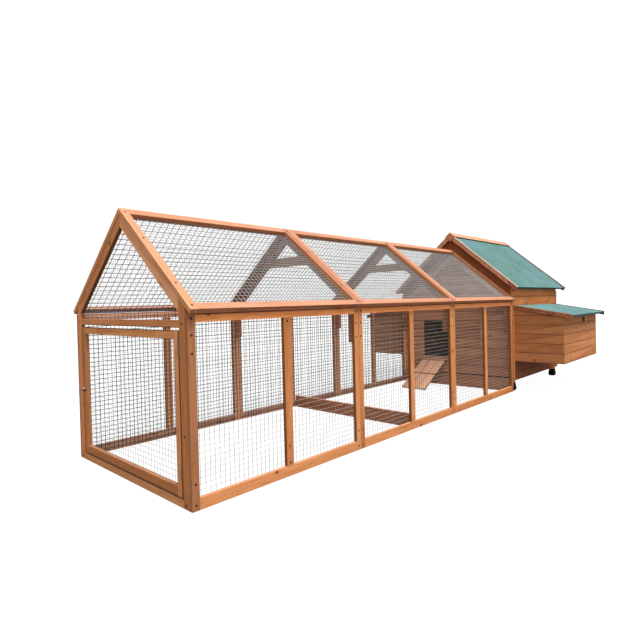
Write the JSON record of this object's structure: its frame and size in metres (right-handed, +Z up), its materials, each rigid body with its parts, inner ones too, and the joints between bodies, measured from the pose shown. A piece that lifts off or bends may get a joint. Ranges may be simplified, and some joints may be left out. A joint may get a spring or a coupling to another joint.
{
  "type": "small animal hutch",
  "caption": "Long timber run with mesh walls and a pitched mesh roof, joined to a raised boarded sleeping house with a felted roof, nest boxes with hinged lids and a ramp to the pop hole.",
  "frame": {"origin": "on the ground, below the middle of the whole length and width", "axes": "+Z up, +Y from the run's door towards the house along the length, +X to the right when looking along +Y"},
  "size_m": [2.096, 4.664, 1.4821],
  "materials": {
    "timber": "orange-brown stained softwood, planed, with dark knots",
    "wall_boards": "stained softwood boards with a V joint between them",
    "trim_boards": "stained softwood trim, paler on the edges that face up",
    "inner_timber": "pale unstained softwood and board",
    "roofing_felt": "matt teal-green mineral roofing felt",
    "welded_mesh": "dull galvanised welded wire, 25.4 mm pitch",
    "zinc_steel": "zinc-plated steel fittings",
    "brass_hinges": "yellow-passivated butt hinges",
    "black_plastic": "black moulded foot caps",
    "galvanised_tray": "folded galvanised sheet"
  },
  "bodies": {
    "root": {"wall_stiles": "timber", "wall_rails": "timber", "wall_meshes": "welded_mesh", "run_roof_bars": "timber", "run_roof_rails": "timber", "run_roof_meshes": "welded_mesh", "front_posts": "timber", "front_rails": "timber", "gable_rafters": "timber", "gable_mesh": "welded_mesh", "truss_rafters": "timber", "truss_collars": "timber", "truss_legs": "timber", "cross_boards": "timber", "house_posts": "inner_timber", "foot_caps": "black_plastic", "floor_rails": "inner_timber", "house_floor": "inner_timber", "front_wall": "wall_boards", "side_walls": "wall_boards", "rear_wall": "wall_boards", "corner_boards": "wall_boards", "house_roof_frame": "inner_timber", "roof_decks": "inner_timber", "roof_felts": "roofing_felt", "rake_fascias": "trim_boards", "ridge_caps": "trim_boards", "nest_ends": "wall_boards", "nest_outer_walls": "wall_boards", "nest_floors": "inner_timber", "nest_dividers": "inner_timber", "lid_hinge_wall_leaves": "brass_hinges", "hasp_staples": "zinc_steel", "fixed_hinge_leaves": "zinc_steel", "pop_hole_sill": "timber", "pop_door_guides": "inner_timber", "perches": "inner_timber", "screws": "zinc_steel"},
    "run_door": {"run_door_stiles": "timber", "run_door_rails": "timber", "run_door_mesh": "welded_mesh", "run_door_hinge_leaves": "zinc_steel"},
    "door_button": {"run_door_latch": "zinc_steel"},
    "right_lid": {"right_lid_deck": "inner_timber", "right_lid_felt": "roofing_felt", "right_lid_fascias": "trim_boards", "right_lid_hinge_leaves": "brass_hinges", "right_hasp_hinge": "zinc_steel"},
    "left_lid": {"left_lid_deck": "inner_timber", "left_lid_felt": "roofing_felt", "left_lid_fascias": "trim_boards", "left_lid_hinge_leaves": "brass_hinges", "left_hasp_hinge": "zinc_steel"},
    "right_hasp_strap": {"right_hasp": "zinc_steel"},
    "left_hasp_strap": {"left_hasp": "zinc_steel"},
    "ramp": {"ramp_boards": "timber", "ramp_cleats": "timber", "ramp_hinge_leaves": "zinc_steel"},
    "pop_door": {"pop_door_panel": "inner_timber"},
    "tray": {"droppings_tray": "galvanised_tray"}
  },
  "joints": [
    {"name": "run_door_swing", "type": "hinge", "parent": "root", "child": "run_door", "pos_m": [0.499, -2.3216, 0.388], "axis": [0, 0, 1], "range_deg": [0, 110]},
    {"name": "door_button_turn", "type": "hinge", "parent": "run_door", "child": "door_button", "pos_m": [-0.478, -2.318, 0.392], "axis": [0, 1, 0], "range_deg": [0, 90]},
    {"name": "right_lid_lift", "type": "hinge", "parent": "root", "child": "right_lid", "pos_m": [0.5715, 1.662, 0.7716], "axis": [0, -1, 0], "range_deg": [0, 79]},
    {"name": "left_lid_lift", "type": "hinge", "parent": "root", "child": "left_lid", "pos_m": [-0.5715, 1.662, 0.7716], "axis": [0, 1, 0], "range_deg": [0, 79]},
    {"name": "right_hasp_swing", "type": "hinge", "parent": "right_lid", "child": "right_hasp_strap", "pos_m": [0.992, 1.617, 0.6733], "axis": [0, -1, 0], "range_deg": [-7, 65]},
    {"name": "left_hasp_swing", "type": "hinge", "parent": "left_lid", "child": "left_hasp_strap", "pos_m": [-0.992, 1.617, 0.6733], "axis": [0, 1, 0], "range_deg": [-7, 65]},
    {"name": "ramp_fold", "type": "hinge", "parent": "root", "child": "ramp", "pos_m": [-0.188, 0.994, 0.254], "axis": [-1, 0, 0], "range_deg": [0, 114]},
    {"name": "pop_door_slide", "type": "slide", "parent": "root", "child": "pop_door", "axis": [-1, 0, 0], "range_m": [0, 0.322]},
    {"name": "tray_slide", "type": "slide", "parent": "root", "child": "tray", "axis": [0, 1, 0], "range_m": [0, 1]}
  ]
}
